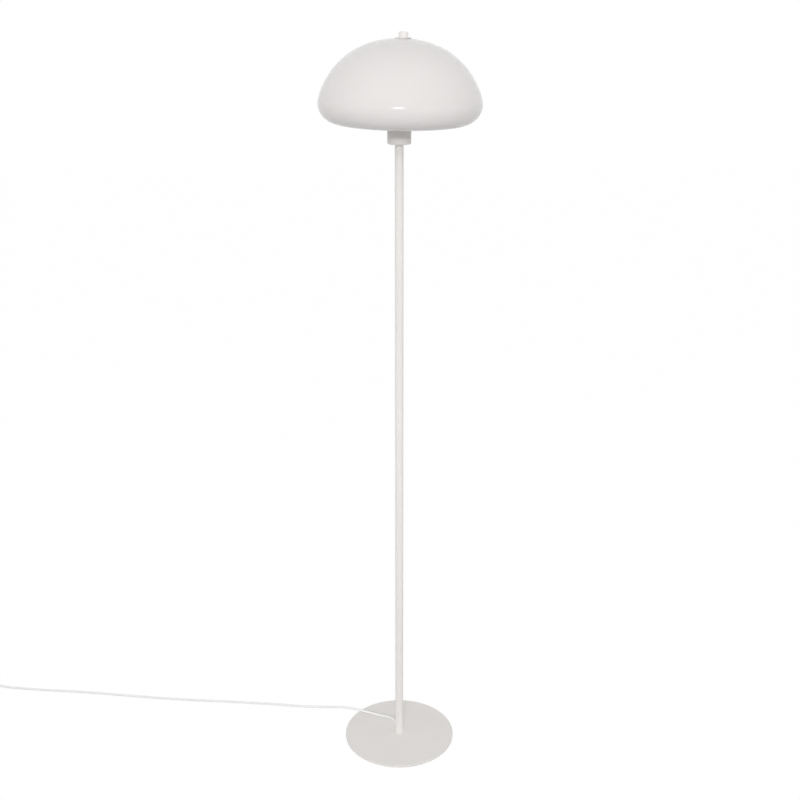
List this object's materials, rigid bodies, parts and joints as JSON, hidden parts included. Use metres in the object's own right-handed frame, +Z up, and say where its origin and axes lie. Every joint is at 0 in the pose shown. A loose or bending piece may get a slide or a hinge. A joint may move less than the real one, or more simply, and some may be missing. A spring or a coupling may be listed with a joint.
{
  "type": "mushroom floor lamp",
  "caption": "Floor lamp with an opal dome shade over a slim pole, a flat round base, and a mains cord with a foot switch.",
  "frame": {"origin": "centre of the base's underside, on the floor", "axes": "+Z up along the pole, +X to the right of someone who faces the lamp, front faces -Y; the cord leaves towards -X"},
  "size_m": [1.4036, 0.4497, 1.6002],
  "materials": {
    "white_paint": "satin powder coat",
    "opal_acrylic": "glossy opal",
    "opal_bulb": "satin opal",
    "zinc_steel": "bright zinc",
    "bulb_cap_metal": "bright",
    "solder": "dull",
    "brass": "plain",
    "foam": "matte",
    "holder_plastic": "matte",
    "white_pvc": "satin",
    "switch_plastic": "satin",
    "pin_metal": "nickel plate",
    "pin_plastic": "matte"
  },
  "bodies": {
    "stand": {"base_plate": "white_paint", "base_pad": "foam", "base_bolt": "zinc_steel", "pole_foot_insert": "zinc_steel", "pole_lower": "white_paint", "pole_coupler": "zinc_steel", "pole_upper": "white_paint", "pole_top_insert": "zinc_steel", "cord_bushing": "white_pvc", "pole_cable": "white_pvc", "nipple": "zinc_steel", "collar": "white_paint", "cup": "white_paint", "cup_nut": "zinc_steel", "holder_cap": "holder_plastic", "holder_body": "holder_plastic", "holder_core": "holder_plastic", "holder_terminals": "brass", "screw_shell": "brass", "centre_contact": "brass", "retaining_ring": "holder_plastic", "harp_ring": "zinc_steel", "harp_leg_left": "zinc_steel", "harp_leg_right": "zinc_steel", "harp_hub": "zinc_steel", "seat_washer": "zinc_steel", "seat_pad": "foam", "shade": "opal_acrylic", "cord_run": "white_pvc", "switch_tray": "switch_plastic", "switch_cover": "switch_plastic", "switch_spring": "zinc_steel", "switch_block": "switch_plastic", "switch_terminals": "brass", "switch_leads": "white_pvc", "switch_clamps": "switch_plastic", "switch_screws": "zinc_steel", "switch_sleeves": "white_pvc", "cord_link": "white_pvc", "cord_coil": "white_pvc", "cord_tail": "white_pvc", "plug_relief": "white_pvc", "plug_lead": "white_pvc", "plug_body": "switch_plastic", "plug_pins": "pin_metal", "plug_pin_sleeves": "pin_plastic"},
    "finial_carriage": {"finial_washer": "white_paint"},
    "finial_knob": {"finial": "white_paint"},
    "bulb_carriage": {"bulb_contact": "solder"},
    "bulb": {"bulb_globe": "opal_bulb", "bulb_cap": "bulb_cap_metal"},
    "foot_button": {"switch_button": "switch_plastic", "switch_plunger": "switch_plastic"}
  },
  "joints": [
    {"name": "finial_lift", "type": "slide", "parent": "stand", "child": "finial_carriage", "axis": [0.014, 0, 0.9999], "range_m": [0, 0.008]},
    {"name": "finial_turn", "type": "hinge", "parent": "finial_carriage", "child": "finial_knob", "pos_m": [0.0084, 0, 1.588], "axis": [0.014, 0, 0.9999], "range_deg": [0, 2890]},
    {"name": "bulb_lift", "type": "slide", "parent": "stand", "child": "bulb_carriage", "axis": [0, 0, 1], "range_m": [0, 0.0127]},
    {"name": "bulb_turn", "type": "hinge", "parent": "bulb_carriage", "child": "bulb", "pos_m": [0, 0, 1.42], "axis": [0, 0, 1], "range_deg": [0, 1265]},
    {"name": "button_press", "type": "slide", "parent": "stand", "child": "foot_button", "axis": [0, 0, -1], "range_m": [0, 0.003], "stiffness_N_per_m": 1500, "springref_m": -0.002, "deforming": ["switch_spring"]}
  ],
  "couplings": [
    {"joint": "finial_turn", "follows": "finial_lift", "rad_per_m": 6283.2},
    {"joint": "bulb_turn", "follows": "bulb_lift", "rad_per_m": 1731.4}
  ]
}
